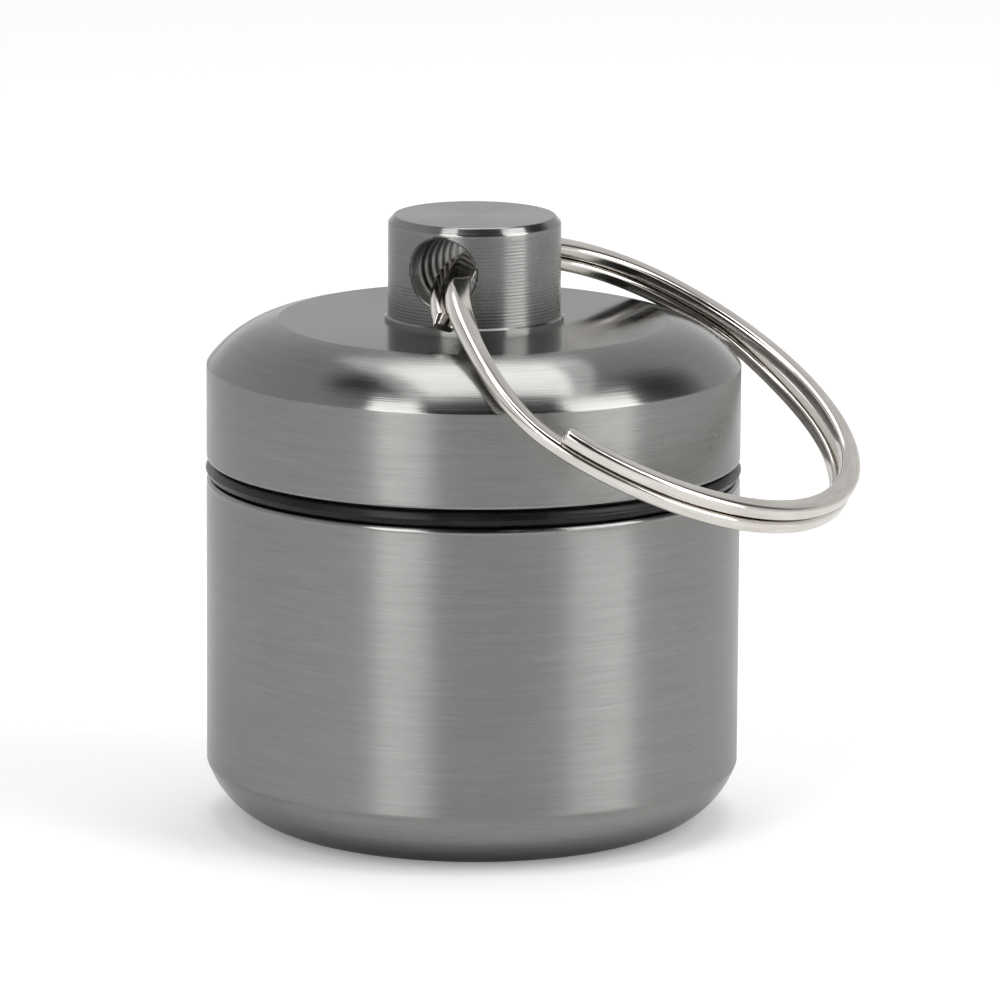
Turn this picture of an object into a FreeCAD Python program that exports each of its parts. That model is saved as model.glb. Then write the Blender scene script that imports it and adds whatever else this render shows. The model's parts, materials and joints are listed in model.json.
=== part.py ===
import FreeCAD, Part
import os
from math import cos, degrees, hypot, pi, radians, sin, sqrt, tan

V = FreeCAD.Vector
origin = V(0, 0, 0)
x_axis = V(1, 0, 0)
y_axis = V(0, 1, 0)
z_axis = V(0, 0, 1)

# overall turned form, all in millimetres, base face at z = 0
body_dia = 27.0
body_height = 17.6
seal_gap = 0.9
skirt_height = 4.87
shoulder_drop = 2.28
boss_height = 5.3

# canister
base_flat_dia = 20.6
base_round_height = 3.0
base_round_bulge = 0.55
rim_chamfer = 0.14
floor_thickness = 1.8
cavity_floor_radius = 1.0
neck_wall = 0.8
neck_lip_chamfer = 0.3

# screw cap
cap_flat_dia = 19.72
shoulder_bulge = 0.42
cap_top_thickness = 1.75
skirt_wall = 1.85
boss_dia = 8.72
boss_chamfer = 0.42
collar_step = 0.17
collar_height = 0.46
collar_bevel = 0.1
mouth_depth = 0.6

# right-hand thread between neck and cap
thread_pitch = 1.5
thread_depth_share = 0.6
thread_crest_share = 0.16
thread_flank_angle = 30.0
thread_sink = 0.1
thread_relief = 0.45
thread_clearance = 0.1
thread_radial_clearance = 0.15
ceiling_clearance = 0.4

# cross bore for the ring, along y
bore_clearance = 0.24
bore_top_wall = 0.4
bore_deburr = 0.12

# rubber seal, squeezed between the rims
seal_width = 1.5
seal_bulge = 0.05
seal_clearance = 0.03
mouth_clearance = 0.12

# split ring, two turns of flattened wire, resting on the cap's shoulder at +x
ring_outer_dia = 23.56
wire_width = 0.95
wire_height = 0.725
wire_corner_share = 0.386
end_round_share = 0.7
turn_gap = 0.1
ring_backset = 0.475
ring_slide = -0.42
ring_lift = 0.09
ring_lean = 3.07
ring_rest_gap = 0.07
single_start = 228.0
step_start = 248.0
step_end = 276.0
step_sections = 9
steepest_droop = 60.0
droop_halvings = 24

overrun = 1.0

# heights and radii that follow
body_r = body_dia / 2
rim_z = body_height + seal_gap
skirt_top_z = rim_z + skirt_height
cap_flat_z = skirt_top_z + shoulder_drop
boss_top_z = cap_flat_z + boss_height
ceiling_z = cap_flat_z - cap_top_thickness
neck_top_z = ceiling_z - ceiling_clearance
boss_r = boss_dia / 2

thread_depth = thread_pitch * thread_depth_share
thread_crest_width = thread_pitch * thread_crest_share
groove_r = body_r - skirt_wall
crest_r = groove_r - thread_radial_clearance
root_r = crest_r - thread_depth
inner_crest_r = root_r + thread_radial_clearance
flank_slope = tan(radians(thread_flank_angle))
cavity_r = root_r - neck_wall

seal_outer_r = body_r + seal_bulge
seal_inner_r = seal_outer_r - seal_width
land_r = seal_inner_r - seal_clearance
mouth_r = max(land_r + mouth_clearance, groove_r)
land_top_z = rim_z - mouth_clearance

# the bore takes the wire where it curves through the boss
wire_corner = wire_height * wire_corner_share
end_round = wire_corner * end_round_share
ring_outer_r = ring_outer_dia / 2
ring_middle_r = ring_outer_r - wire_width / 2
ring_inner_r = ring_outer_r - wire_width
ring_reach = ring_middle_r - ring_backset
turn_level = (wire_height + turn_gap) / 2
mouth_inset = ring_reach - sqrt(ring_inner_r ** 2 - (boss_r + abs(ring_slide)) ** 2)
wire_rise = turn_level + wire_height / 2 + abs(ring_lift) + boss_r * tan(radians(ring_lean))
bore_r = hypot(max(mouth_inset, ring_outer_r - ring_reach), wire_rise) + bore_clearance
bore_z = boss_top_z - bore_top_wall - bore_r


def bulged(start, end, bulge):
    # arc from start to end whose middle stands out by bulge on the left of the run
    run = end - start
    side = V(-run.z, 0, run.x)
    side.normalize()
    return Part.Arc(start, (start + end) / 2 + side * bulge, end)


def lathe(pieces):
    # pieces are points (r, z) joined by straight lines, or arcs between them
    edges = []
    last = None
    first = None
    for piece in pieces:
        if isinstance(piece, Part.Arc):
            begin, finish = piece.StartPoint, piece.EndPoint
        else:
            begin = finish = V(piece[0], 0, piece[1])
        if last is None:
            first = begin
        elif last.distanceToPoint(begin) > 0:
            edges.append(Part.makeLine(last, begin))
        if begin is not finish:
            edges.append(piece.toShape())
        last = finish
    edges.append(Part.makeLine(last, first))
    face = Part.Face(Part.Wire(edges))
    return face.revolve(origin, z_axis, 360)


def thread_ridge(foot_r, tip_r, tip_width, start_z, end_z):
    # one helical ridge from a wall at foot_r, sunk a little into it, to its crest at tip_r
    outward = 1 if tip_r > foot_r else -1
    sunk_r = foot_r - outward * thread_sink
    half_tip = tip_width / 2
    half_foot = half_tip + abs(tip_r - sunk_r) * flank_slope
    corners = [V(sunk_r, 0, start_z - half_foot), V(tip_r, 0, start_z - half_tip),
               V(tip_r, 0, start_z + half_tip), V(sunk_r, 0, start_z + half_foot)]
    outline = Part.makePolygon(corners + corners[:1])
    path = Part.makeHelix(thread_pitch, end_z - start_z, foot_r)
    path.translate(V(0, 0, start_z))
    return Part.Wire(path.Edges).makePipeShell([outline], True, True)


shoulder = bulged(V(cap_flat_dia / 2, 0, cap_flat_z), V(body_r, 0, skirt_top_z), shoulder_bulge)
shoulder_circle = shoulder.toShape().Curve


# canister body: turned cup with a threaded neck
def canister_body():
    base_arc = bulged(V(base_flat_dia / 2, 0, 0), V(body_r, 0, base_round_height), -base_round_bulge)
    floor_z = floor_thickness
    turn = cavity_floor_radius
    corner = cavity_r - turn
    mid = V(corner + turn * sin(pi / 4), 0, floor_z + turn - turn * cos(pi / 4))
    floor_arc = Part.Arc(V(cavity_r, 0, floor_z + turn), mid, V(corner, 0, floor_z))
    cup = lathe([(0, 0), base_arc,
                 (body_r, body_height - rim_chamfer), (body_r - rim_chamfer, body_height),
                 (land_r, body_height), (land_r, land_top_z), (root_r, land_top_z),
                 (root_r, neck_top_z), (cavity_r + neck_lip_chamfer, neck_top_z),
                 (cavity_r, neck_top_z - neck_lip_chamfer), floor_arc, (0, floor_z)])
    ridge = thread_ridge(root_r, crest_r, thread_crest_width,
                         land_top_z - thread_pitch, neck_top_z + thread_pitch)
    # the ridge fades out at the relief above the land and at the lead-in bevel on top
    deep_r = root_r - thread_sink / 2
    wide_r = crest_r + overrun
    relief_z = land_top_z + thread_relief
    lead_z = neck_top_z + thread_sink / 2
    sleeve = lathe([(0, relief_z), (deep_r, relief_z), (wide_r, relief_z + wide_r - deep_r),
                    (wide_r, lead_z - wide_r + deep_r), (deep_r, lead_z), (0, lead_z)])
    return cup.fuse(ridge.common(sleeve)).removeSplitter()


# screw cap: turned in one piece with the boss that the ring hangs from
def screw_cap():
    collar_r = boss_r + collar_step
    collar_top_z = cap_flat_z + collar_height
    cap = lathe([(0, boss_top_z), (boss_r - boss_chamfer, boss_top_z),
                 (boss_r, boss_top_z - boss_chamfer), (boss_r, collar_top_z),
                 (collar_r - collar_bevel, collar_top_z), (collar_r, collar_top_z - collar_bevel),
                 (collar_r, cap_flat_z), shoulder,
                 (body_r, rim_z + rim_chamfer), (body_r - rim_chamfer, rim_z),
                 (mouth_r, rim_z), (mouth_r, rim_z + mouth_depth), (groove_r, rim_z + mouth_depth),
                 (groove_r, ceiling_z), (0, ceiling_z)])
    inner_tip = (thread_pitch - thread_crest_width - 2 * thread_clearance
                 - 2 * (crest_r - inner_crest_r) * flank_slope)
    ridge = thread_ridge(groove_r, inner_crest_r, inner_tip,
                         land_top_z - thread_pitch / 2, ceiling_z + thread_pitch / 2)
    # the inner ridge fades in at the mouth and stops short of the ceiling
    deep_r = groove_r + 2 * thread_sink
    tip_r = inner_crest_r - thread_sink
    mouth_z = rim_z + mouth_depth
    stop_z = ceiling_z - thread_relief
    sleeve = lathe([(deep_r, mouth_z), (tip_r, mouth_z + deep_r - tip_r),
                    (tip_r, stop_z), (deep_r, stop_z)])
    cap = cap.fuse(ridge.common(sleeve))
    centre = V(0, 0, bore_z)
    reach = boss_r + overrun
    cap = cap.cut(Part.makeCylinder(bore_r, 2 * reach, centre - y_axis * reach, y_axis))
    # the mouths are deburred by a shallow countersink, as deep as the bore's edge dips round the boss
    dip = boss_r - sqrt(boss_r ** 2 - bore_r ** 2) + bore_deburr
    for way in (y_axis, y_axis * -1):
        cone_r = bore_r + bore_deburr
        cap = cap.cut(Part.makeCone(cone_r - dip, cone_r + overrun, dip + overrun,
                                    centre + way * (boss_r - dip), way))
    return cap.removeSplitter()


# rubber seal: flat where the rims squeeze it, round where it bulges out
def o_ring():
    low = body_height + seal_clearance
    high = rim_z - seal_clearance
    round_r = (high - low) / 2
    middle = (high + low) / 2
    outer = Part.Arc(V(seal_outer_r - round_r, 0, low), V(seal_outer_r, 0, middle),
                     V(seal_outer_r - round_r, 0, high))
    inner = Part.Arc(V(seal_inner_r + round_r, 0, high), V(seal_inner_r, 0, middle),
                     V(seal_inner_r + round_r, 0, low))
    return lathe([outer, inner])


def wire_points(level):
    # corner arcs of the rounded wire section in the plane y = 0, each as start, middle and end
    half_w = wire_width / 2
    half_h = wire_height / 2
    in_w = half_w - wire_corner
    in_h = half_h - wire_corner
    bow = wire_corner * cos(pi / 4)
    at = V(ring_middle_r, 0, level)
    arcs = []
    for sx, sz in ((1, 1), (-1, 1), (-1, -1), (1, -1)):
        side = at + V(sx * half_w, 0, sz * in_h)
        mid = at + V(sx * (in_w + bow), 0, sz * (in_h + bow))
        flat = at + V(sx * in_w, 0, sz * half_h)
        arcs.append((side, mid, flat) if sx * sz > 0 else (flat, mid, side))
    return arcs


def wire_outline(level):
    edges = []
    for start, mid, end in wire_points(level):
        if edges:
            edges.append(Part.makeLine(edges[-1].lastVertex().Point, start))
        edges.append(Part.Arc(start, mid, end).toShape())
    edges.append(Part.makeLine(edges[-1].lastVertex().Point, edges[0].firstVertex().Point))
    return Part.Wire(edges)


def step_level(share):
    # height of the wire along the step from the upper turn down to the lower one
    return turn_level * (1 - 2 * share * share * (3 - 2 * share))


def seated(point, droop):
    # a point of the flat ring, moved to where the ring lies with the given droop
    leaned = FreeCAD.Rotation(x_axis, ring_lean).multVec(point) + V(ring_reach, ring_slide, ring_lift)
    return FreeCAD.Rotation(y_axis, droop).multVec(leaned) + V(0, 0, bore_z)


def stand_off(point):
    # how far a point stands off the cap's flat top, shoulder and skirt
    r = hypot(point.x, point.y)
    if r < cap_flat_dia / 2:
        return point.z - cap_flat_z
    if point.z < skirt_top_z:
        return r - body_r
    middle = shoulder_circle.Center
    return hypot(r - middle.x, point.z - middle.z) - shoulder_circle.Radius


def resting_droop():
    # the ring sinks until its wire is ring_rest_gap from the shoulder
    wire = []
    for angle in range(360):
        share = (angle - step_start) / (step_end - step_start)
        levels = [turn_level, -turn_level]
        if single_start < angle < step_end:
            levels = [step_level(max(share, 0))]
        turn = FreeCAD.Rotation(z_axis, angle)
        wire += [turn.multVec(p) for level in levels for arc in wire_points(level) for p in arc]
    low, high = 0, steepest_droop
    for _ in range(droop_halvings):
        droop = (low + high) / 2
        if min(stand_off(seated(point, droop)) for point in wire) > ring_rest_gap:
            low = droop
        else:
            high = droop
    return low


# split ring: upper turn, the step between the turns, lower turn, as one wire
def split_ring():
    def turn_run(level, begin, end):
        face = Part.Face(wire_outline(level))
        face.rotate(origin, z_axis, begin)
        return face.revolve(origin, z_axis, end - begin)

    upper = turn_run(turn_level, step_end, step_start + 360)
    lower = turn_run(-turn_level, step_end, single_start + 360)
    stations = []
    run = radians(step_end - step_start) * ring_middle_r
    for i in range(step_sections):
        share = i / (step_sections - 1)
        slope = 12 * share * (1 - share) * turn_level / run
        outline = wire_outline(0)
        outline.rotate(V(ring_middle_r, 0, 0), x_axis, -degrees(slope))
        outline.translate(V(0, 0, step_level(share)))
        outline.rotate(origin, z_axis, step_start + share * (step_end - step_start))
        stations.append(outline)
    step = Part.makeLoft(stations, True, False)
    print("split ring least gap between turns", round(upper.distToShape(lower)[0], 3))
    ring = upper.fuse([step, lower]).removeSplitter()
    # both cut ends are tumbled round
    end_edges = []
    for angle, level in ((step_end, turn_level), (single_start, -turn_level)):
        tip = FreeCAD.Rotation(z_axis, angle).multVec(V(ring_middle_r, 0, level))
        ends = [face for face in ring.Faces if face.CenterOfMass.distanceToPoint(tip) < end_round]
        end_edges += ends[0].Edges
    ring = ring.makeFillet(end_round, end_edges)
    droop = resting_droop()
    print("split ring droop at rest", round(droop, 3))
    ring.rotate(origin, x_axis, ring_lean)
    ring.translate(V(ring_reach, ring_slide, ring_lift))
    ring.rotate(origin, y_axis, droop)
    ring.translate(V(0, 0, bore_z))
    return ring


os.makedirs("parts", exist_ok=True)
for make in (canister_body, screw_cap, o_ring, split_ring):
    shape = make()
    solids = shape.Solids
    print(make.__name__, len(solids), shape.isValid(), round(shape.Volume, 2))
    if len(solids) == 1:
        shape = solids[0]
    shape.exportStep("parts/" + make.__name__ + ".step")
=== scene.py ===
import bmesh
import bpy
import json
from math import atan2, copysign, cos, hypot, pi, radians, sin, sqrt, tan
from mathutils import Matrix, Vector


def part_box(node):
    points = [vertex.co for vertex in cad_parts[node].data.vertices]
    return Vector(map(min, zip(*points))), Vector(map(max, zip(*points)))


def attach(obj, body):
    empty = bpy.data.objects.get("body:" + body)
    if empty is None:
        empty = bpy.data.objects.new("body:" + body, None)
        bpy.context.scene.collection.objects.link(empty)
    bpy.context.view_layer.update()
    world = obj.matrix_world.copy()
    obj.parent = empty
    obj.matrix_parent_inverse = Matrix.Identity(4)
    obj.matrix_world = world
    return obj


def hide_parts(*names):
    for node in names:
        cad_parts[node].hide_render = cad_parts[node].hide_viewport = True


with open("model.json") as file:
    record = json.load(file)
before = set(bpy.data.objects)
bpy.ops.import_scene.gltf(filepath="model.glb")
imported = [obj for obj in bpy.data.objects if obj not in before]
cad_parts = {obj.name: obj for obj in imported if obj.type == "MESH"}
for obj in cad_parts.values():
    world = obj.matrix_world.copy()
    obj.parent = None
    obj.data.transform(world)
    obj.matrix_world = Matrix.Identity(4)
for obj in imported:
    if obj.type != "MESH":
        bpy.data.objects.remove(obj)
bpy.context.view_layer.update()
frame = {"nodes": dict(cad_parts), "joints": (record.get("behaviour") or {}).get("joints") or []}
mm = 0.001
turn = 2 * pi
scene = bpy.context.scene
meshCare = {"weld": 0.0005, "sliver": 0.0002, "sharpEdge": 40}  # mm, mm and degrees
print("frame loaded:", ", ".join(sorted(frame["nodes"])))


# node helpers
def addNode(tree, kind, **settings):
    made = tree.nodes.new(kind)
    for name, value in settings.items():
        setattr(made, name, value)
    return made


def feed(tree, socket, value):
    if isinstance(value, bpy.types.NodeSocket):
        tree.links.new(value, socket)
    else:
        socket.default_value = value


def calc(tree, operation, *values):
    made = addNode(tree, "ShaderNodeMath", operation=operation)
    for socket, value in zip(made.inputs, values):
        feed(tree, socket, value)
    return made.outputs[0]


def arithmetic(tree):  # short names for the four kinds of sum
    def rule(operation):
        return lambda first, second: calc(tree, operation, first, second)
    return [rule(operation) for operation in ("ADD", "SUBTRACT", "MULTIPLY", "DIVIDE")]


def clamped(tree, value):
    return calc(tree, "MINIMUM", calc(tree, "MAXIMUM", value, 0.0), 1.0)


def pointAt(tree, x, y, z):
    made = addNode(tree, "ShaderNodeCombineXYZ")
    for socket, value in zip(made.inputs, (x, y, z)):
        feed(tree, socket, value)
    return made.outputs[0]


def splitUp(tree, vector):
    made = addNode(tree, "ShaderNodeSeparateXYZ")
    feed(tree, made.inputs[0], vector)
    return made.outputs


def startTree(name, counts, sizes):
    tree = bpy.data.node_groups.new(name, "GeometryNodeTree")
    inputs = [("Geometry", ["Geometry"]), ("Int", counts), ("Float", sizes), ("Material", ["Finish"])]
    for kind, labels in inputs:
        for label in labels:
            tree.interface.new_socket(label, in_out="INPUT", socket_type="NodeSocket" + kind)
    tree.interface.new_socket("Geometry", in_out="OUTPUT", socket_type="NodeSocketGeometry")
    return tree, addNode(tree, "NodeGroupInput").outputs


def pointCount(tree, outline):
    made = addNode(tree, "GeometryNodeAttributeDomainSize")
    feed(tree, made.inputs[0], outline)
    return made.outputs["Point Count"]


def outlineValue(tree, outline, kind, value, index):  # reads the outline's own point, row by row
    sample = addNode(tree, "GeometryNodeSampleIndex", data_type=kind)
    feed(tree, sample.inputs["Geometry"], outline)
    feed(tree, sample.inputs["Value"], value)
    feed(tree, sample.inputs["Index"], index)
    return sample.outputs[0]


def outlinePlace(tree, outline, index):
    position = addNode(tree, "GeometryNodeInputPosition").outputs[0]
    return splitUp(tree, outlineValue(tree, outline, "FLOAT_VECTOR", position, index))


def named(tree, name):
    made = addNode(tree, "GeometryNodeInputNamedAttribute")
    made.inputs["Name"].default_value = name
    return made.outputs[0]


def gridOf(tree, rows, columns):
    plus, minus, times, over = arithmetic(tree)
    grid = addNode(tree, "GeometryNodeMeshGrid")
    feed(tree, grid.inputs["Vertices X"], rows)
    feed(tree, grid.inputs["Vertices Y"], columns)
    index = addNode(tree, "GeometryNodeInputIndex").outputs[0]
    row = calc(tree, "FLOOR", over(plus(index, 0.5), columns))
    column = minus(index, times(row, columns))
    return grid, row, column


def roundAxis(tree, r, angle, z):
    across, along = (calc(tree, "MULTIPLY", r, calc(tree, wave, angle)) for wave in ("COSINE", "SINE"))
    return pointAt(tree, across, along, z)


def endTree(tree, grid, place, finish, notes):  # welds seam and poles, then hands the mesh over
    sheet = grid.outputs["Mesh"]
    for note, kind, value in notes:
        noted = addNode(tree, "GeometryNodeStoreNamedAttribute", data_type=kind, domain="POINT")
        noted.inputs["Name"].default_value = note
        feed(tree, noted.inputs["Geometry"], sheet)
        feed(tree, noted.inputs["Value"], value)
        sheet = noted.outputs[0]
    moved = addNode(tree, "GeometryNodeSetPosition")
    weld = addNode(tree, "GeometryNodeMergeByDistance")
    weld.inputs["Distance"].default_value = meshCare["weld"] * mm
    real = addNode(tree, "GeometryNodeRealizeInstances")
    wear = addNode(tree, "GeometryNodeSetMaterial")
    out = addNode(tree, "NodeGroupOutput")
    feed(tree, moved.inputs["Geometry"], sheet)
    feed(tree, moved.inputs["Position"], place)
    feed(tree, weld.inputs["Geometry"], moved.outputs[0])
    feed(tree, real.inputs["Geometry"], weld.outputs[0])
    feed(tree, wear.inputs["Geometry"], real.outputs[0])
    feed(tree, wear.inputs["Material"], finish)
    feed(tree, out.inputs["Geometry"], wear.outputs[0])
    return tree


feedBands = {"rate": 0.33, "gain": 2.0}  # how often the feed marks change in depth, and how much


# turned pieces: an outline in r and z goes round the axis, with an optional thread and feed marks
def makeLatheTree():
    tree, size = startTree("turnedOnLathe", ["Segments"], [
        "Pitch", "Ridge Depth", "Ridge Tip", "Ridge Foot", "Ridge Level", "Feed", "Feed Depth"])
    plus, minus, times, over = arithmetic(tree)
    outline = size["Geometry"]
    grid, row, column = gridOf(tree, pointCount(tree, outline), plus(size["Segments"], 1))
    place = outlinePlace(tree, outline, row)
    r, z = place["X"], place["Z"]
    room, marked, polish, tone = (outlineValue(tree, outline, "FLOAT", named(tree, label), row)
                                  for label in ("ridgeRoom", "feedMarks", "polish", "tone"))
    share = over(column, size["Segments"])
    # ridge: how far the point is from the nearest crest along the axis
    rise = over(minus(z, size["Ridge Level"]), size["Pitch"])
    phase = calc(tree, "WRAP", minus(rise, share), 0.5, -0.5)
    away = times(calc(tree, "ABSOLUTE", phase), size["Pitch"])
    flank = times(minus(size["Ridge Foot"], size["Ridge Tip"]), 0.5)
    inside = minus(times(size["Ridge Foot"], 0.5), away)
    height = times(clamped(tree, over(inside, flank)), size["Ridge Depth"])
    height = calc(tree, "MINIMUM", height, calc(tree, "ABSOLUTE", room))
    r = plus(r, times(height, calc(tree, "SIGN", room)))
    # feed marks: the tool's fine spiral, deeper in some bands than in others
    steps = over(z, size["Feed"])
    ripple = calc(tree, "SINE", times(minus(steps, share), turn))
    bands = addNode(tree, "ShaderNodeTexNoise", noise_dimensions="1D")
    feed(tree, bands.inputs["W"], times(steps, feedBands["rate"]))
    bands.inputs["Scale"].default_value = 1.0
    depth = times(times(bands.outputs[0], feedBands["gain"]), size["Feed Depth"])
    r = plus(r, times(times(ripple, depth), marked))
    # the colour scale carried here is painted shade and painted highlight
    notes = [("polish", "FLOAT", polish), ("tone", "FLOAT", tone)]
    return endTree(tree, grid, roundAxis(tree, r, times(share, turn), z), size["Finish"], notes)


# split ring: a wire section follows two turns and the step between them
def makeWireTree():
    tree, size = startTree("woundWire", ["Stations", "End Rows"], [
        "Turn Radius", "Start", "Sweep", "Step Start", "Step Sweep", "Level", "Nose", "Chisel",
        "Chisel Share", "Flat Depth", "Flat Middle", "Flat Reach", "Spring Start", "Spring Sweep",
        "Spring Share", "Nose Drop", "Nose Reach", "Swell", "Swell Middle", "Swell Reach",
        "Spread", "Spread Middle", "Spread Reach"])
    plus, minus, times, over = arithmetic(tree)
    outline = size["Geometry"]
    rows = plus(size["Stations"], 2)  # the last row closes the cut end
    columns = pointCount(tree, outline)
    grid, row, column = gridOf(tree, rows, columns)
    section = outlinePlace(tree, outline, column)

    def softened(value):
        return times(times(value, value), minus(3.0, times(value, 2.0)))

    def hill(angle, middle, reach):  # 1 at the middle, 0 from the reach on
        off = over(minus(angle, middle), reach)
        return softened(clamped(tree, minus(1.0, times(off, off))))

    # the nose swells as a quarter ellipse, the other end is cut back to a chisel
    bend = times(clamped(tree, over(row, size["End Rows"])), pi / 2)
    noseRun = times(size["Nose"], minus(1.0, calc(tree, "COSINE", bend)))
    lastRow = minus(size["Stations"], size["End Rows"])
    run = clamped(tree, over(minus(row, size["End Rows"]), minus(lastRow, size["End Rows"])))
    tail = clamped(tree, over(minus(row, lastRow), size["End Rows"]))
    ends = plus(size["Nose"], size["Chisel"])
    along = plus(noseRun, times(run, minus(size["Sweep"], ends)))
    along = plus(along, times(tail, size["Chisel"]))
    angle = plus(size["Start"], along)
    cutBack = times(tail, size["Chisel Share"])
    closed = calc(tree, "LESS_THAN", row, plus(size["Stations"], 0.5))
    wide = times(calc(tree, "SINE", bend), closed)
    tall = times(wide, minus(1.0, cutBack))
    # the step eases from the upper turn to the lower one
    step = clamped(tree, over(minus(angle, size["Step Start"]), size["Step Sweep"]))
    level = times(size["Level"], minus(1.0, times(softened(step), 2.0)))
    near = clamped(tree, minus(1.0, over(along, size["Nose Reach"])))
    level = minus(level, times(softened(near), size["Nose Drop"]))
    level = minus(level, times(cutBack, size["Level"]))  # so that only the upper side is cut back
    # the ring is a little flat where it hangs, and its free end springs back out
    off = over(calc(tree, "WRAP", minus(angle, size["Flat Middle"]), pi, -pi), size["Flat Reach"])
    flat = clamped(tree, minus(1.0, times(off, off)))
    spring = clamped(tree, over(minus(angle, size["Spring Start"]), size["Spring Sweep"]))
    flat = times(times(flat, flat), minus(1.0, times(spring, size["Spring Share"])))
    middle = minus(size["Turn Radius"], times(flat, size["Flat Depth"]))
    # the wire is pressed wider at the bend, and the lower turn bows away on the far side
    pressed = plus(1.0, times(hill(angle, size["Swell Middle"], size["Swell Reach"]), size["Swell"]))
    bowed = hill(angle, size["Spread Middle"], size["Spread Reach"])
    level = minus(times(level, pressed), times(bowed, size["Spread"]))
    r = plus(middle, times(section["X"], times(wide, pressed)))
    z = plus(level, times(section["Z"], times(tall, pressed)))
    # round the wire and along it, for the finish
    girth = times(over(column, minus(columns, 1)), turn)
    drawn = pointAt(tree, calc(tree, "COSINE", girth), calc(tree, "SINE", girth), along)
    notes = [("drawn", "FLOAT_VECTOR", drawn)]
    return endTree(tree, grid, roundAxis(tree, r, angle, z), size["Finish"], notes)


latheTree = makeLatheTree()
wireTree = makeWireTree()
print("node trees ready")


# outlines in millimetres: lists of (r, z)
def bulged(start, end, bulge, pieces=24):  # arc whose middle stands out by bulge on the left of the run
    (r0, z0), (r1, z1) = start, end
    run = hypot(r1 - r0, z1 - z0)
    side = ((z0 - z1) / run, (r1 - r0) / run)
    radius = (run * run / 4 + bulge * bulge) / (2 * bulge)
    centre = ((r0 + r1) / 2 + side[0] * (bulge - radius), (z0 + z1) / 2 + side[1] * (bulge - radius))
    first = atan2(z0 - centre[1], r0 - centre[0])
    sweep = atan2(z1 - centre[1], r1 - centre[0]) - first
    sweep = (sweep + pi) % turn - pi
    points = []
    for i in range(pieces + 1):
        a = first + sweep * i / pieces
        points.append((centre[0] + abs(radius) * cos(a), centre[1] + abs(radius) * sin(a)))
    return points


def partWay(begin, end, share):
    return begin[0] + (end[0] - begin[0]) * share, begin[1] + (end[1] - begin[1]) * share


def eased(points, sizes, pieces=4, most=0.45):  # a small round breaks the edge at each point with a size
    made = []
    for i, here in enumerate(points):
        size = sizes.get(i, 0)
        if not size:
            made.append(here)
            continue
        ends = []
        for other in (points[i - 1], points[i + 1]):
            length = hypot(other[0] - here[0], other[1] - here[1])
            ends.append(partWay(here, other, min(size / length, most)))
        for k in range(pieces + 1):
            share = k / pieces
            a, b, c = (1 - share) ** 2, 2 * share * (1 - share), share ** 2
            made.append((a * ends[0][0] + b * here[0] + c * ends[1][0],
                         a * ends[0][1] + b * here[1] + c * ends[1][1]))
    return made


def braced(points, near=0.05):  # adds points close to the ends of long runs, so that flats shade flat
    made = [points[0]]
    for begin, end in zip(points, points[1:]):
        length = hypot(end[0] - begin[0], end[1] - begin[1])
        if length > 4 * near:
            for share in (near / length, 1 - near / length):
                made.append(partWay(begin, end, share))
        made.append(end)
    return made


def between(table, x):  # straight lines between the pairs in a table
    for (x0, y0), (x1, y1) in zip(table, table[1:]):
        if x <= x1:
            return y0 + (y1 - y0) * max(0.0, x - x0) / (x1 - x0)
    return table[-1][1]


def combed(r, low, high, step):  # a straight wall from low to high in fine steps
    count = max(2, int(round(abs(high - low) / step)))
    return [(r, low + (high - low) * i / count) for i in range(count + 1)]


def meets(first, second):
    return abs(first - second) < 1e-6


def placed(name, data):
    made = bpy.data.objects.new(name, data)
    scene.collection.objects.link(made)
    return made


def outlineObject(name, points, room=None, marks=None, polish=None, tone=None):
    mesh = bpy.data.meshes.new(name)
    edges = [(i, i + 1) for i in range(len(points) - 1)]
    mesh.from_pydata([(r * mm, 0, z * mm) for r, z in points], edges, [])
    for label, rule in (("ridgeRoom", room), ("feedMarks", marks), ("polish", polish), ("tone", tone)):
        values = mesh.attributes.new(label, "FLOAT", "POINT")
        for i, (r, z) in enumerate(points):
            values.data[i].value = rule(r, z) if rule else 0.0
    return placed(name, mesh)


def plainMesh(piece):  # takes the evaluated mesh and drops the modifiers
    bpy.context.view_layer.update()
    mesh = bpy.data.meshes.new_from_object(piece.evaluated_get(bpy.context.evaluated_depsgraph_get()))
    piece.modifiers.clear()
    old = piece.data
    piece.data = mesh
    mesh.name = piece.name
    bpy.data.meshes.remove(old)
    return mesh


def grown(piece, tree, sizes):  # runs the tree, then keeps the plain mesh
    modifier = piece.modifiers.new(tree.name, "NODES")
    modifier.node_group = tree
    sockets = {item.name: item.identifier for item in tree.interface.items_tree if item.in_out == "INPUT"}
    for name, value in sizes.items():
        modifier[sockets[name]] = value
    mesh = plainMesh(piece)
    tidyMesh(mesh)
    if mesh.materials[0] is None:
        mesh.materials.pop(index=0)
    return piece


def tidyMesh(mesh):
    work = bmesh.new()
    work.from_mesh(mesh)
    bmesh.ops.dissolve_degenerate(work, dist=meshCare["sliver"] * mm, edges=work.edges)
    bmesh.ops.recalc_face_normals(work, faces=work.faces)
    for face in work.faces:
        face.smooth = True
    work.to_mesh(mesh)
    work.free()
    mesh.set_sharp_from_angle(angle=radians(meshCare["sharpEdge"]))


# finishes
noiseRange = (0.3, 0.7)  # where most of a noise lies


def startFinish(name):
    made = bpy.data.materials.new(name)
    made.use_nodes = True
    tree = made.node_tree
    return made, tree, tree.nodes["Principled BSDF"]


def objectPlace(tree):
    return addNode(tree, "ShaderNodeTexCoord").outputs["Object"]


def attribute(tree, name, output):
    return addNode(tree, "ShaderNodeAttribute", attribute_name=name).outputs[output]


def ramp(tree, value, low, high, outLow, outHigh):
    made = addNode(tree, "ShaderNodeMapRange")
    for socket, number in zip(made.inputs, (value, low, high, outLow, outHigh)):
        feed(tree, socket, number)
    return made.outputs[0]


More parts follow.
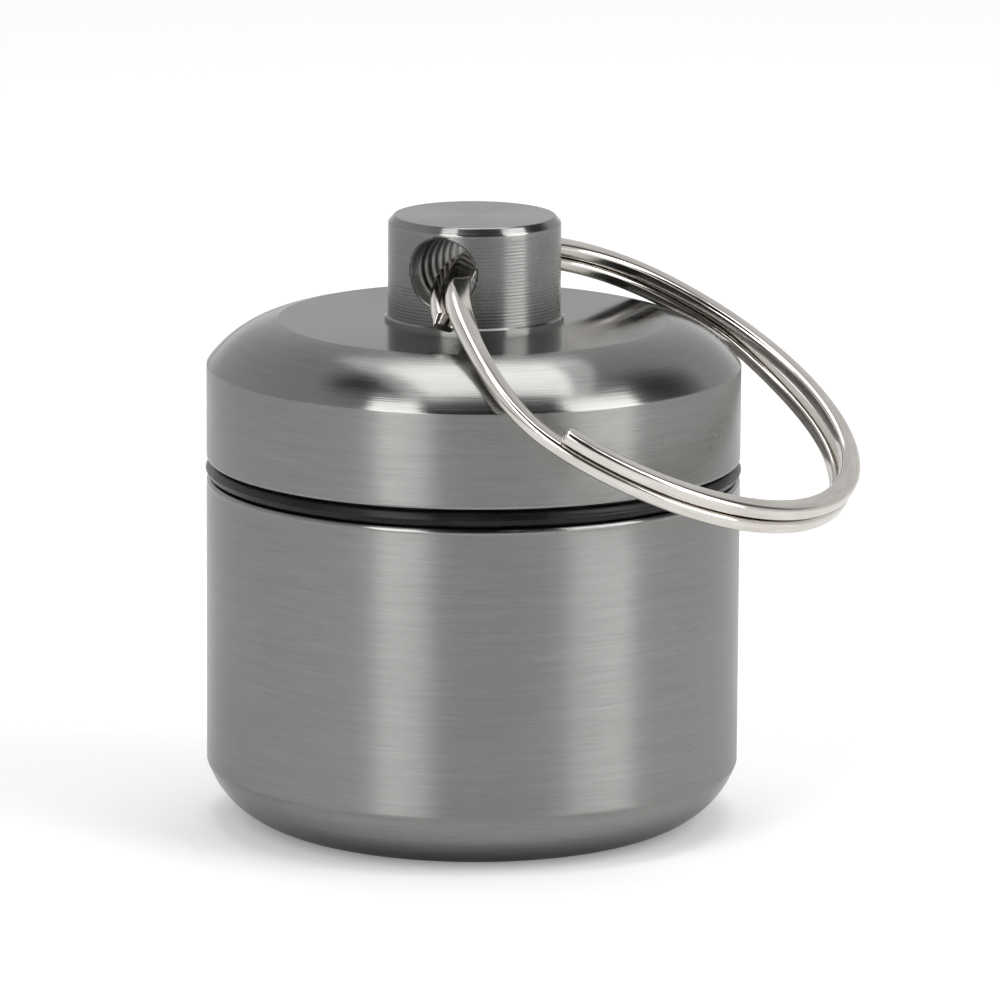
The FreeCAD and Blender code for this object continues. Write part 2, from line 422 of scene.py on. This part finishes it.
def noise(tree, vector, scale=1.0, detail=2.0, roughness=0.5):
    made = addNode(tree, "ShaderNodeTexNoise")
    feed(tree, made.inputs["Vector"], vector)
    made.inputs["Scale"].default_value = scale
    made.inputs["Detail"].default_value = detail
    made.inputs["Roughness"].default_value = roughness
    return made.outputs[0]


def stretched(tree, vector, scale):
    made = addNode(tree, "ShaderNodeMapping")
    made.inputs["Scale"].default_value = scale
    feed(tree, made.inputs["Vector"], vector)
    return made.outputs[0]


def blended(tree, first, second, share):  # a share of the first, and the rest of the second
    parts = [calc(tree, "MULTIPLY", *pair) for pair in ((first, share), (second, 1 - share))]
    return calc(tree, "ADD", *parts)


def shaded(tree, pattern, look):  # the look's dark and light, mixed by a pattern
    made = addNode(tree, "ShaderNodeMix", data_type="RGBA")
    feed(tree, made.inputs["Factor"], ramp(tree, pattern, *look["contrast"], 0.0, 1.0))
    colours = [s for s in made.inputs if s.type == "RGBA"]
    colours[0].default_value = (*look["dark"], 1)
    colours[1].default_value = (*look["light"], 1)
    return next(s for s in made.outputs if s.type == "RGBA")


def coated(tree, shader, look, colouring, wear):  # colour by one pattern, roughness by another
    tree.links.new(shaded(tree, colouring, look), shader.inputs["Base Color"])
    tree.links.new(ramp(tree, wear, *noiseRange, *look["roughness"]), shader.inputs["Roughness"])


def addBump(tree, shader, height, distance, strength=1.0):
    made = addNode(tree, "ShaderNodeBump")
    feed(tree, made.inputs["Height"], height)
    made.inputs["Distance"].default_value = distance
    made.inputs["Strength"].default_value = strength
    tree.links.new(made.outputs[0], shader.inputs["Normal"])


turnedLook = {
    "dark": (0.221, 0.222, 0.215),
    "light": (0.282, 0.283, 0.275),
    "contrast": noiseRange,
    "edgeGleam": (0.85, 0.85, 0.85, 1),
    "rough": 0.36,          # where polish is 0
    "fine": 0.13,           # where polish is 1
    "spread": 0.05,
    "anisotropy": 0.9,
    "anisotropyTurn": 0.25,
    "axisR": 0.01,          # mm, keeps the pattern off the axis
    "runR": 0.8,            # how much of the run is radius, and how much is height
    "runZ": 1.3,
    "lineWidth": 0.05,      # mm along the outline
    "lineArc": 7.0,         # streaks to a radian
    "lineShare": 0.7,       # of the colour, the rest is bands
    "lineDepth": 0.0015,    # mm
    "bandArc": 0.25,        # bands and cuts, as shares of the lines' rates
    "bandRun": 0.12,
    "cutRun": 0.35,
    "bandDepth": 0.0042,    # mm, for the wider cuts
    "handledScale": 220.0,
    "handledShare": 0.5,
    "nickCell": 2.6,        # mm, one in a few cells has a nick
    "nickChance": 0.2,
    "nickReach": 0.07,      # mm
    "nickDepth": 0.02,      # mm
}


def turnedFinish(name, shift):
    look = turnedLook
    made, tree, shader = startFinish(name)
    plus, minus, times, over = arithmetic(tree)
    where = objectPlace(tree)
    x, y, z = splitUp(tree, where)
    r = calc(tree, "SQRT", plus(times(x, x), times(y, y)))
    r = calc(tree, "MAXIMUM", r, look["axisR"] * mm)
    # the outline's own run: changes along walls, flats and both rounds
    run = minus(times(r, look["runR"]), times(z, look["runZ"]))
    run = plus(over(run, look["lineWidth"] * mm), shift)
    sides = [times(over(side, r), look["lineArc"]) for side in (x, y)]
    lines = noise(tree, pointAt(tree, *sides, run), detail=3.0, roughness=0.6)
    wide = [times(side, look["bandArc"]) for side in sides]
    bands = noise(tree, pointAt(tree, *wide, times(run, look["bandRun"])), detail=2.0)
    cuts = noise(tree, pointAt(tree, *wide, times(run, look["cutRun"])), detail=1.0)
    handled = noise(tree, where, look["handledScale"], detail=3.0)
    mixed = blended(tree, lines, bands, look["lineShare"])
    # painted light: the colour is scaled by a per-point attribute that holds painted shade and painted
    # highlights by zone
    paintedLitColour = addNode(tree, "ShaderNodeVectorMath", operation="SCALE")
    feed(tree, paintedLitColour.inputs[0], shaded(tree, mixed, look))
    feed(tree, paintedLitColour.inputs["Scale"], attribute(tree, "tone", "Fac"))
    tree.links.new(paintedLitColour.outputs[0], shader.inputs["Base Color"])
    worn = blended(tree, handled, mixed, look["handledShare"])
    rough = plus(ramp(tree, attribute(tree, "polish", "Fac"), 0.0, 1.0, look["rough"], look["fine"]),
                 ramp(tree, worn, *noiseRange, -look["spread"], look["spread"]))
    tree.links.new(rough, shader.inputs["Roughness"])
    shader.inputs["Metallic"].default_value = 1.0
    shader.inputs["Specular Tint"].default_value = look["edgeGleam"]
    shader.inputs["Anisotropic"].default_value = look["anisotropy"]
    shader.inputs["Anisotropic Rotation"].default_value = look["anisotropyTurn"]
    around = addNode(tree, "ShaderNodeTangent", direction_type="RADIAL", axis="Z")
    tree.links.new(around.outputs[0], shader.inputs["Tangent"])
    spots = addNode(tree, "ShaderNodeTexVoronoi")
    feed(tree, spots.inputs["Vector"], where)
    spots.inputs["Scale"].default_value = 1 / (look["nickCell"] * mm)
    nick = ramp(tree, spots.outputs["Distance"], 0.0, look["nickReach"] / look["nickCell"], 1.0, 0.0)
    chance = addNode(tree, "ShaderNodeSeparateColor")
    feed(tree, chance.inputs[0], spots.outputs["Color"])
    nick = times(nick, calc(tree, "GREATER_THAN", chance.outputs[0], 1 - look["nickChance"]))
    height = plus(cuts, times(lines, look["lineDepth"] / look["bandDepth"]))
    height = minus(height, times(nick, look["nickDepth"] / look["bandDepth"]))
    addBump(tree, shader, height, look["bandDepth"] * mm)
    return made


boreLook = {
    "dark": (0.19, 0.188, 0.182),
    # painted light: the light level is lifted well above the cap metal's to lighten the hole inside; the
    # mix of dark and light itself is scratches and grime
    "light": (0.46, 0.457, 0.445),
    "contrast": (0.35, 0.65),
    "roughness": (0.26, 0.40),
    "edgeGleam": (0.8, 0.8, 0.8, 1),
    "scratchStretch": (0.25, 4.0, 0.25),
    "scratchScale": 1400.0,
    "scratchShare": 0.6,     # of the colour, the rest is grime
    "scratchDepth": 0.004,   # mm
    "grimeScale": 700.0,
}


def boreFinish(name):  # drilled and left as it came: dull, with oil-dark scratches round the hole
    look = boreLook
    made, tree, shader = startFinish(name)
    where = objectPlace(tree)
    along = stretched(tree, where, look["scratchStretch"])
    scratches = noise(tree, along, look["scratchScale"], detail=3.0, roughness=0.6)
    grime = noise(tree, where, look["grimeScale"], detail=2.0)
    coated(tree, shader, look, blended(tree, scratches, grime, look["scratchShare"]), grime)
    shader.inputs["Metallic"].default_value = 1.0
    shader.inputs["Specular Tint"].default_value = look["edgeGleam"]
    addBump(tree, shader, scratches, look["scratchDepth"] * mm)
    return made


nickelLook = {
    "dark": (0.60, 0.565, 0.525),
    "light": (0.74, 0.71, 0.675),
    "contrast": (0.35, 0.65),
    "roughness": (0.055, 0.13),
    "drawStretch": (3.2, 3.2, 5.0),  # draw lines round the wire, and their breaks to a radian of the ring
    "drawShare": 0.6,                # of the colour, the rest is tumbling
    "drawDepth": 0.003,              # mm
    "tumbleScale": 320.0,
}


def nickelFinish(name):
    look = nickelLook
    made, tree, shader = startFinish(name)
    drawn = stretched(tree, attribute(tree, "drawn", "Vector"), look["drawStretch"])
    lines = noise(tree, drawn, detail=4.0, roughness=0.55)
    tumbled = noise(tree, objectPlace(tree), look["tumbleScale"], detail=3.0)
    coated(tree, shader, look, blended(tree, lines, tumbled, look["drawShare"]), tumbled)
    shader.inputs["Metallic"].default_value = 1.0
    addBump(tree, shader, lines, look["drawDepth"] * mm)
    return made


rubberLook = {
    "dark": (0.005, 0.005, 0.005),
    "light": (0.012, 0.012, 0.011),
    "contrast": (0.35, 0.75),
    "roughness": (0.22, 0.36),
    "gloss": 0.2,
    "dustScale": 500.0,
    "grainScale": 4200.0,
    "grainDepth": 0.006,     # mm
    "grainStrength": 0.6,
}


def rubberFinish(name):
    look = rubberLook
    made, tree, shader = startFinish(name)
    where = objectPlace(tree)
    grain = noise(tree, where, look["grainScale"], detail=3.0, roughness=0.6)
    dusty = noise(tree, where, look["dustScale"], detail=3.0)
    coated(tree, shader, look, dusty, dusty)
    shader.inputs["Specular IOR Level"].default_value = look["gloss"]
    addBump(tree, shader, grain, look["grainDepth"] * mm, look["grainStrength"])
    return made


canisterMetal = turnedFinish("canisterMetal", shift=0.0)
capMetal = turnedFinish("capMetal", shift=37.0)
boreMetal = boreFinish("boreMetal")
ringNickel = nickelFinish("ringNickel")
sealRubber = rubberFinish("sealRubber")
print("finishes ready")

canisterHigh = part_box("canister_body")[1]
capLow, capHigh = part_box("screw_cap")
sealLow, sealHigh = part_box("o_ring")

# shared sizes, from the frame
bodyR = canisterHigh.x / mm
neckTop = canisterHigh.z / mm
rimZ = capLow.z / mm
bossTop = capHigh.z / mm
swing = next(j for j in frame["joints"] if j["name"] == "ring_swing")
boreZ = swing["pos_m"][2] / mm
threadSizes = {"pitch": 1.5, "depth": 0.9, "flankAngle": 30, "landGap": 0.12, "combStep": 0.045}
landTop = rimZ - threadSizes["landGap"]
plainTurning = {"Segments": 224, "Pitch": 1.0, "Ridge Depth": 0.0, "Ridge Tip": 0.1, "Ridge Foot": 0.2,
                "Ridge Level": 0.0, "Feed": 1.0, "Feed Depth": 0.0}  # no thread, no feed marks


def threaded(crest, level):
    t = threadSizes
    foot = crest + 2 * t["depth"] * tan(radians(t["flankAngle"]))
    return {"Pitch": t["pitch"] * mm, "Ridge Depth": t["depth"] * mm, "Ridge Tip": crest * mm,
            "Ridge Foot": foot * mm, "Ridge Level": level * mm}


# canister: cup with a threaded neck
canisterSizes = {
    "height": 17.6, "baseFlatR": 10.3, "baseRoundHeight": 3.0, "baseRoundBulge": 0.55,
    "rimChamfer": 0.14, "landR": 12.02, "rootR": 10.6, "cavityR": 9.8, "lipChamfer": 0.3,
    "floor": 1.8, "floorRound": 1.0, "floorPieces": 8, "crest": 0.24, "relief": 0.45, "runOut": 0.05,
    "edge": 0.06, "slack": 0.01,
    "wallPolish": 0.25, "roundPolish": 0.65, "basePolish": 0.5, "rimPolish": 0.8, "insidePolish": 0.1,
    # height in mm and colour scale: painted shade at the foot of the lower round, a painted highlight
    # band above it
    "footPaintedLight": [(0.0, 0.1), (0.45, 0.25), (1.1, 0.7), (1.7, 1.12), (2.6, 1.14), (3.0, 1.0)],
}


def makeCanister():
    s = canisterSizes
    height, chamfer, edge = s["height"], s["rimChamfer"], s["edge"]
    base = bulged((s["baseFlatR"], 0), (bodyR, s["baseRoundHeight"]), -s["baseRoundBulge"])
    outside = eased([(0, 0)] + base + [(bodyR, height / 2)], {1: edge, len(base): edge})
    rim = eased([(bodyR, height - chamfer * 2), (bodyR, height - chamfer), (bodyR - chamfer, height),
                 (s["landR"], height), (s["landR"], landTop), (s["rootR"], landTop)],
                {1: edge, 2: edge, 4: edge})
    neck = combed(s["rootR"], landTop, neckTop, threadSizes["combStep"])
    turnR = s["floorRound"]
    corner = (s["cavityR"] - turnR, s["floor"] + turnR)
    inside = [(s["cavityR"] + s["lipChamfer"], neckTop), (s["cavityR"], neckTop - s["lipChamfer"])]
    for i in range(s["floorPieces"] + 1):
        a = i * pi / 2 / s["floorPieces"]
        inside.append((corner[0] + turnR * cos(a), corner[1] - turnR * sin(a)))
    points = braced(outside + rim) + neck[1:] + braced(inside + [(0, s["floor"])])

    def room(r, z):
        if not meets(r, s["rootR"]) or z < landTop:
            return 0.0
        return max(0.0, min(z - landTop - s["relief"], neckTop - z) - s["runOut"]) * mm

    def polish(r, z):
        if r < s["landR"] - s["slack"] and z > s["floor"] - s["slack"]:
            return s["insidePolish"]
        if z < s["baseRoundHeight"] - edge:
            return s["roundPolish"] if r > s["baseFlatR"] else s["basePolish"]
        return s["wallPolish"] if z < height - 2 * chamfer else s["rimPolish"]

    def tone(r, z):  # painted shade: darker towards the foot of the lower round, standing in for the contact shadow seen in it, with a painted highlight band just above
        return 1.0 if r < s["baseFlatR"] or z > height else between(s["footPaintedLight"], z)

    piece = outlineObject("turnedCanister", points, room=room, polish=polish, tone=tone)
    thread = threaded(s["crest"], landTop)
    return grown(piece, latheTree, {**plainTurning, **thread, "Finish": canisterMetal})


# screw cap with its boss
capSizes = {
    "skirtTop": 23.37, "skirtRun": 0.4, "flat": 25.65, "flatR": 9.86, "shoulderBulge": 0.42,
    "bossR": 4.36, "chamferIn": 0.30, "chamferDown": 0.36, "crownIn": 1.0, "crownDown": 0.2,
    "collarStep": 0.17, "collarHeight": 0.28, "collarBevel": 0.1,
    "rimChamfer": 0.14, "mouthR": 12.14, "mouthDepth": 0.6, "grooveR": 11.65, "ceiling": 23.9,
    "crest": 0.194, "relief": 0.45, "runOut": 0.2,
    "feed": 0.17, "feedRows": 6, "feedDepth": 0.0027, "feedGap": 0.02, "edge": 0.05,
    "skirtPolish": 0.25, "shoulderPolish": 0.82, "flatPolish": 0.97, "bossPolish": 0.4, "topPolish": 0.9,
    # colour scales on the boss wall, top and flat: painted shade and a painted highlight
    "edgePolish": 1.0, "insidePolish": 0.1, "bossPaintedShade": 0.86, "topPaintedHighlight": 1.04, "flatPaintedShade": 0.8,
}


def makeCap():
    s = capSizes
    bossR, flat, edge, chamfer = s["bossR"], s["flat"], s["edge"], s["rimChamfer"]
    hair = edge / 8
    collarR = bossR + s["collarStep"]
    collarTop = flat + s["collarHeight"]
    wallTop = bossTop - s["chamferDown"]
    mouthTop = rimZ + s["mouthDepth"]
    crown = eased([(bossR - s["crownIn"], bossTop), (bossR - s["chamferIn"], bossTop), (bossR, wallTop),
                   (bossR, wallTop - s["crownDown"])], {1: edge, 2: edge})
    wall = combed(bossR, crown[-1][1], collarTop, s["feed"] / s["feedRows"])
    collar = [(bossR, collarTop), (collarR - s["collarBevel"], collarTop),
              (collarR, collarTop - s["collarBevel"]), (collarR, flat)]
    shoulder = bulged((s["flatR"], flat), (bodyR, s["skirtTop"]), s["shoulderBulge"])
    shoulder = eased([(collarR, flat)] + shoulder + [(bodyR, s["skirtTop"] - s["skirtRun"])],
                     {1: edge, len(shoulder): edge})
    rim = eased([shoulder[-1], (bodyR, rimZ + chamfer), (bodyR - chamfer, rimZ), (s["mouthR"], rimZ),
                 (s["mouthR"], mouthTop), (s["grooveR"], mouthTop)], {1: edge, 2: edge, 3: edge})
    hollow = combed(s["grooveR"], mouthTop, s["ceiling"], threadSizes["combStep"])
    points = (braced([(0, bossTop)] + crown) + wall[1:] + braced(collar + shoulder[1:-1] + rim)[1:]
              + hollow[1:] + [(0, s["ceiling"])])

    def room(r, z):
        if not meets(r, s["grooveR"]) or z > s["ceiling"] - s["relief"]:
            return 0.0
        return -max(0.0, z - rimZ - s["mouthDepth"] - s["runOut"]) * mm

    def marks(r, z):
        if not meets(r, bossR) or z < collarTop + s["feedGap"]:
            return 0.0
        return min(1.0, max(0.0, (wallTop - s["feed"] - z) / (2 * s["feed"])))

    def polish(r, z):
        if r < s["mouthR"] + edge and z < s["ceiling"] + edge:
            return s["insidePolish"]
        if z > wallTop - edge:
            return s["edgePolish"] if z < bossTop - hair else s["topPolish"]
        if z > flat + edge:
            return s["bossPolish"] if r <= bossR + hair else s["edgePolish"]
        if z > s["skirtTop"] - hair:
            return s["flatPolish"] if r < s["flatR"] else s["shoulderPolish"]
        return s["skirtPolish"] if z > rimZ + chamfer + edge else s["edgePolish"]

    def tone(r, z):  # the boss is cut coarser; painted shade darkens its wall and the flat round it, and a painted highlight lightens its top
        if z > bossTop - hair:
            return s["topPaintedHighlight"]
        if z > flat - hair and collarR < r < s["flatR"]:
            return s["flatPaintedShade"]
        return s["bossPaintedShade"] if collarTop - edge < z < wallTop - edge else 1.0

    piece = outlineObject("turnedCap", points, room=room, marks=marks, polish=polish, tone=tone)
    thread = threaded(s["crest"], landTop + threadSizes["pitch"] / 2)
    grown(piece, latheTree, {**plainTurning, **thread, "Feed": s["feed"] * mm,
                             "Feed Depth": s["feedDepth"] * mm, "Finish": capMetal})
    return bored(piece)


# cross bore
boreSizes = {
    "radius": 1.76, "drop": 0.12, "edge": 0.05, "out": 0.2, "past": 1.0, "wallGap": 0.25,
    "ribPitch": 0.88, "ribDepth": 0.06, "ribReach": 3.1, "ribFade": 0.5,
    "around": 96, "wallRows": 90, "polish": 0.25, "tone": 2.2,
}


def bored(piece):  # broken edges follow the round boss, and drill marks run inside
    s = boreSizes
    bossR, around = capSizes["bossR"], s["around"]
    vertices, faces = [], []

    def ring(radiusAt, yAt):
        for k in range(around):
            a = turn * k / around
            radius = radiusAt(a)
            x = radius * cos(a)
            vertices.append((x * mm, yAt(a, x) * mm, (boreZ - s["drop"] + radius * sin(a)) * mm))

    def mouth(side, inward):
        ring(lambda a: s["radius"] + (s["edge"] - inward),
             lambda a, x: side * (sqrt(bossR ** 2 - x * x) - inward))

    wide = s["radius"] + s["edge"] + s["out"]
    ring(lambda a: wide, lambda a, x: -bossR - s["past"])
    for inward in (-s["out"], s["edge"]):
        mouth(-1, inward)
    reach = sqrt(bossR ** 2 - s["radius"] ** 2) - s["wallGap"]
    for i in range(s["wallRows"] + 1):
        y = -reach + 2 * reach * i / s["wallRows"]
        fade = min(1.0, max(0.0, (s["ribReach"] - abs(y)) / s["ribFade"]))
        rib = s["ribDepth"] * fade
        ring(lambda a: s["radius"] + rib * (0.5 - 0.5 * cos(turn * y / s["ribPitch"] + a)),
             lambda a, x: y)
    for inward in (s["edge"], -s["out"]):
        mouth(1, inward)
    ring(lambda a: wide, lambda a, x: bossR + s["past"])
    ringCount = len(vertices) // around
    for i in range(ringCount - 1):
        for k in range(around):
            n = (k + 1) % around
            faces.append((i * around + k, i * around + n, (i + 1) * around + n, (i + 1) * around + k))
    faces.append(tuple(range(around)))
    faces.append(tuple((ringCount - 1) * around + k for k in reversed(range(around))))
    mesh = bpy.data.meshes.new("boreTool")
    mesh.from_pydata(vertices, [], faces)
    mesh.materials.append(boreMetal)
    mesh.materials.append(capMetal)
    for face in mesh.polygons:
        if face.index // around in (1, ringCount - 3):  # the broken edges
            face.material_index = 1
    # polish and a colour scale for the cut faces; on the broken edges, which take the cap metal, the
    # colour scale is a painted highlight
    for label in ("polish", "tone"):
        values = mesh.attributes.new(label, "FLOAT", "POINT")
        for item in values.data:
            item.value = s[label]
    tool = placed("boreTool", mesh)
    tidyMesh(mesh)
    cut = piece.modifiers.new("bore", "BOOLEAN")
    cut.operation, cut.solver, cut.object = "DIFFERENCE", "MANIFOLD", tool
    cut.material_mode = "TRANSFER"
    result = plainMesh(piece)
    bpy.data.objects.remove(tool)
    bpy.data.meshes.remove(mesh)
    result.set_sharp_from_angle(angle=radians(meshCare["sharpEdge"]))
    return piece


# rubber seal with its moulding line
sealSizes = {"width": 1.5, "flash": 0.025, "flashHalf": 0.04, "pieces": 48}


def makeSeal():
    s = sealSizes
    low, high = sealLow.z / mm, sealHigh.z / mm
    outerR = sealHigh.x / mm
    innerR = outerR - s["width"]
    wallR = (high - low) / 2
    middle = (high + low) / 2
    points = []
    for i in range(s["pieces"] + 1):
        a = -pi / 2 + pi * i / s["pieces"]
        ridge = s["flash"] * max(0.0, 1 - abs(wallR * a) / s["flashHalf"])
        points.append((outerR - wallR - s["flash"] + (wallR + ridge) * cos(a), middle + wallR * sin(a)))
    for i in range(s["pieces"] + 1):
        a = pi / 2 + pi * i / s["pieces"]
        points.append((innerR + wallR + wallR * cos(a), middle + wallR * sin(a)))
    points.append(points[0])
    return grown(outlineObject("rubberSeal", points), latheTree, {**plainTurning, "Finish": sealRubber})


# split ring: lengths in millimetres, places round the ring in degrees
ringSizes = {
    "outerDia": 24.374, "wireWidth": 1.068, "wireHeight": 0.753, "squareness": 3.2, "sectionPoints": 48,
    "turnGap": 0.06, "backset": 1.02, "slide": -0.854, "lift": 0.038, "lean": 2.865, "droop": 29.521,
    "start": 275.15, "stepStart": 590.3, "stepSweep": 42.4, "end": 942.0,
    "stations": 520, "endRows": 8, "nose": 0.3, "chisel": 0.42, "chiselShare": 0.55,
    "flatDepth": 1.432, "flatMiddle": 197.2, "flatReach": 87.6,
    "springStart": 860.0, "springSweep": 25.0, "springShare": 0.347, "noseDrop": 0.05, "noseReach": 60.0,
    "swell": 0.171, "swellMiddle": 569.0, "swellReach": 30.0,
    "spread": 0.325, "spreadMiddle": 765.2, "spreadReach": 47.4,
}


def inputName(label):  # stepStart becomes Step Start
    return "".join(" " + letter if letter.isupper() else letter for letter in label).title()


def makeRing():
    s = ringSizes
    halfW, halfH = s["wireWidth"] / 2, s["wireHeight"] / 2
    section = []
    for i in range(s["sectionPoints"] + 1):  # between an oval and a box, so the faces are crowned
        a = turn * i / s["sectionPoints"]
        x, z = (copysign(abs(v) ** (2 / s["squareness"]), v) for v in (cos(a), sin(a)))
        section.append((halfW * x, halfH * z))
    middleR = s["outerDia"] / 2 - halfW
    sizes = {"Stations": s["stations"], "End Rows": s["endRows"], "Turn Radius": middleR * mm,
             "Sweep": radians(s["end"] - s["start"]), "Level": (s["wireHeight"] + s["turnGap"]) / 2 * mm,
             "Nose": s["nose"] / middleR, "Chisel": s["chisel"] / middleR, "Finish": ringNickel}
    for label in ("start", "stepStart", "stepSweep", "flatMiddle", "flatReach", "springStart",
                  "springSweep", "noseReach", "swellMiddle", "swellReach", "spreadMiddle", "spreadReach"):
        sizes[inputName(label)] = radians(s[label])
    for label in ("flatDepth", "noseDrop", "spread"):
        sizes[inputName(label)] = s[label] * mm
    for label in ("chiselShare", "springShare", "swell"):
        sizes[inputName(label)] = s[label]
    piece = grown(outlineObject("splitKeyRing", section), wireTree, sizes)
    hang = (Matrix.Translation((0, 0, boreZ * mm)) @ Matrix.Rotation(radians(s["droop"]), 4, "Y")
            @ Matrix.Translation(((middleR - s["backset"]) * mm, s["slide"] * mm, s["lift"] * mm))
            @ Matrix.Rotation(radians(s["lean"]), 4, "X"))
    piece.data.transform(hang)
    return piece


for make, body, node, slot in ((makeCanister, "canister", "canister_body", "canister_metal"),
                               (makeCap, "cap", "screw_cap", "cap_metal"),
                               (makeSeal, "seal", "o_ring", "seal_rubber"),
                               (makeRing, "ring", "split_ring", "ring_plating")):
    piece = make()
    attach(piece, body)
    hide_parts(node)
    triangles = sum(len(face.vertices) - 2 for face in piece.data.polygons)
    print("made", piece.name, "with", triangles, "triangles")

# camera, floor and light
cameraView = {
    "distance": 409.9, "elevation": 11.79, "azimuth": 22.76, "aim": 16.29, "aside": 1.356, "roll": 0.339,
    "focus": 8091.8, "imageWidth": 1000, "sensor": 36, "near": 0.01, "far": 20,
}


def fromCamera(azimuth, elevation):  # azimuth 0 is the camera's side, positive to its right
    a = radians(azimuth + cameraView["azimuth"])
    e = radians(elevation)
    return Vector((sin(a) * cos(e), -cos(a) * cos(e), sin(e)))


def facing(place, right, up, back):
    return Matrix.Translation(place) @ Matrix((right, up, back)).transposed().to_4x4()


def makeCamera():
    v = cameraView
    back = fromCamera(0, v["elevation"])
    a = radians(v["azimuth"])
    right = Vector((cos(a), sin(a), 0))
    up = back.cross(right)
    roll = radians(v["roll"])
    rolledRight = right * cos(roll) + up * sin(roll)
    rolledUp = up * cos(roll) - right * sin(roll)
    place = (right * v["aside"] + Vector((0, 0, v["aim"])) + back * v["distance"]) * mm
    data = bpy.data.cameras.new("photoCamera")
    data.sensor_width = v["sensor"]
    data.lens = v["focus"] / v["imageWidth"] * data.sensor_width
    data.clip_start, data.clip_end = v["near"], v["far"]
    camera = placed("photoCamera", data)
    camera.matrix_world = facing(place, rolledRight, rolledUp, back)
    scene.camera = camera


studio = {
    "floorHalf": 4.0, "floorColour": (0.92, 0.92, 0.92), "floorRough": 0.9, "floorShine": 0.1,
    "floorGlow": 0.225, "floorGleam": 0.08, "aim": 15.0, "fill": 0.35,
    # sine of the elevation, and the level there
    "sky": [(0.06, 0.95), (0.2, 0.74), (0.45, 0.68), (0.78, 0.58), (0.9, 0.3), (1.0, 0.2)],
    # dark flags in the air: azimuth, elevation, half angle, half angle of the full dark, level
    "flags": [(-113, 65, 13, 5, 0.12), (117, 40, 21, 6, 0.16), (5, 46, 44, 32, 0.10)],
    # foot and head of each lamp as azimuth, elevation and distance in metres, then its width and radiance
    "lamps": [("leftStrip", (-27, 2, 0.40), (-59, 65, 0.66), 0.16, 3.5),
              ("rightStrip", (54, 2, 0.42), (83, 58, 0.52), 0.22, 3.3),
              ("topBank", (36, 78, 0.47), (185, 57, 0.80), 0.32, 2.0),
              ("topWide", (36, 79, 0.50), (184, 53, 0.84), 0.45, 0.9),
              ("topFade", (184, 56, 0.86), (184, 46, 0.94), 0.44, 1.0)],
}


def seenRays(tree):  # 1 for what the camera sees, also in metal
    path = addNode(tree, "ShaderNodeLightPath").outputs
    seen = calc(tree, "MAXIMUM", path["Is Camera Ray"], path["Is Glossy Ray"])
    return calc(tree, "MAXIMUM", seen, path["Is Transmission Ray"])


def makeFloor():
    half = studio["floorHalf"]
    mesh = bpy.data.meshes.new("floor")
    corners = [(x * half, y * half, 0) for x, y in ((-1, -1), (1, -1), (1, 1), (-1, 1))]
    mesh.from_pydata(corners, [], [(0, 1, 2, 3)])
    floor = placed("floor", mesh)
    paint, tree, shader = startFinish("floorPaint")
    shader.inputs["Base Color"].default_value = (*studio["floorColour"], 1)
    shader.inputs["Roughness"].default_value = studio["floorRough"]
    shader.inputs["Specular IOR Level"].default_value = studio["floorShine"]
    shader.inputs["Emission Color"].default_value = (1, 1, 1, 1)
    path = addNode(tree, "ShaderNodeLightPath").outputs
    glow = calc(tree, "MULTIPLY", path["Is Camera Ray"], studio["floorGlow"])
    gleam = calc(tree, "MULTIPLY", seenRays(tree), studio["floorGleam"])
    tree.links.new(calc(tree, "MAXIMUM", glow, gleam), shader.inputs["Emission Strength"])
    mesh.materials.append(paint)


def makeLamps():
    centre = Vector((0, 0, studio["aim"] * mm))
    for name, foot, head, width, radiance in studio["lamps"]:
        low, high = (centre + fromCamera(azimuth, elevation) * distance
                     for azimuth, elevation, distance in (foot, head))
        length = (high - low).length
        data = bpy.data.lights.new(name, "AREA")
        data.shape, data.size, data.size_y = "RECTANGLE", width, length
        data.energy = radiance * pi * width * length
        along = (high - low).normalized()
        middle = (low + high) / 2
        away = middle - centre
        away = (away - along * away.dot(along)).normalized()
        lamp = placed(name, data)
        lamp.matrix_world = facing(middle, along.cross(away), along, away)
        lamp.visible_camera = False


def makeAir():  # plain white for the camera, a lit room in reflections, dimmer as light
    world = bpy.data.worlds.new("studioAir")
    scene.world = world
    world.use_nodes = True
    tree = world.node_tree
    sky = tree.nodes["Background"]
    way = addNode(tree, "ShaderNodeTexCoord").outputs["Generated"]
    shade = addNode(tree, "ShaderNodeValToRGB")
    feed(tree, shade.inputs[0], splitUp(tree, way)["Z"])
    stops = shade.color_ramp.elements
    while len(stops) < len(studio["sky"]):
        stops.new(0.5)
    for stop, (position, level) in zip(stops, studio["sky"]):
        stop.position = position
        stop.color = (level, level, level, 1)
    tree.links.new(shade.outputs[0], sky.inputs["Color"])
    strength = ramp(tree, seenRays(tree), 0.0, 1.0, studio["fill"], 1.0)
    for azimuth, elevation, half, core, level in studio["flags"]:
        near = addNode(tree, "ShaderNodeVectorMath", operation="DOT_PRODUCT")
        feed(tree, near.inputs[0], way)
        near.inputs[1].default_value = fromCamera(azimuth, elevation)
        dim = ramp(tree, near.outputs["Value"], cos(radians(half)), cos(radians(core)), 1.0, level)
        strength = calc(tree, "MULTIPLY", strength, dim)
    tree.links.new(strength, sky.inputs["Strength"])
    backdrop = addNode(tree, "ShaderNodeBackground")
    backdrop.inputs["Color"].default_value = (1, 1, 1, 1)
    choose = addNode(tree, "ShaderNodeMixShader")
    feed(tree, choose.inputs[0], addNode(tree, "ShaderNodeLightPath").outputs["Is Camera Ray"])
    feed(tree, choose.inputs[1], sky.outputs[0])
    feed(tree, choose.inputs[2], backdrop.outputs[0])
    feed(tree, tree.nodes["World Output"].inputs["Surface"], choose.outputs[0])


makeCamera()
makeFloor()
makeLamps()
makeAir()
scene.view_settings.view_transform = "Standard"
print("camera and light ready")
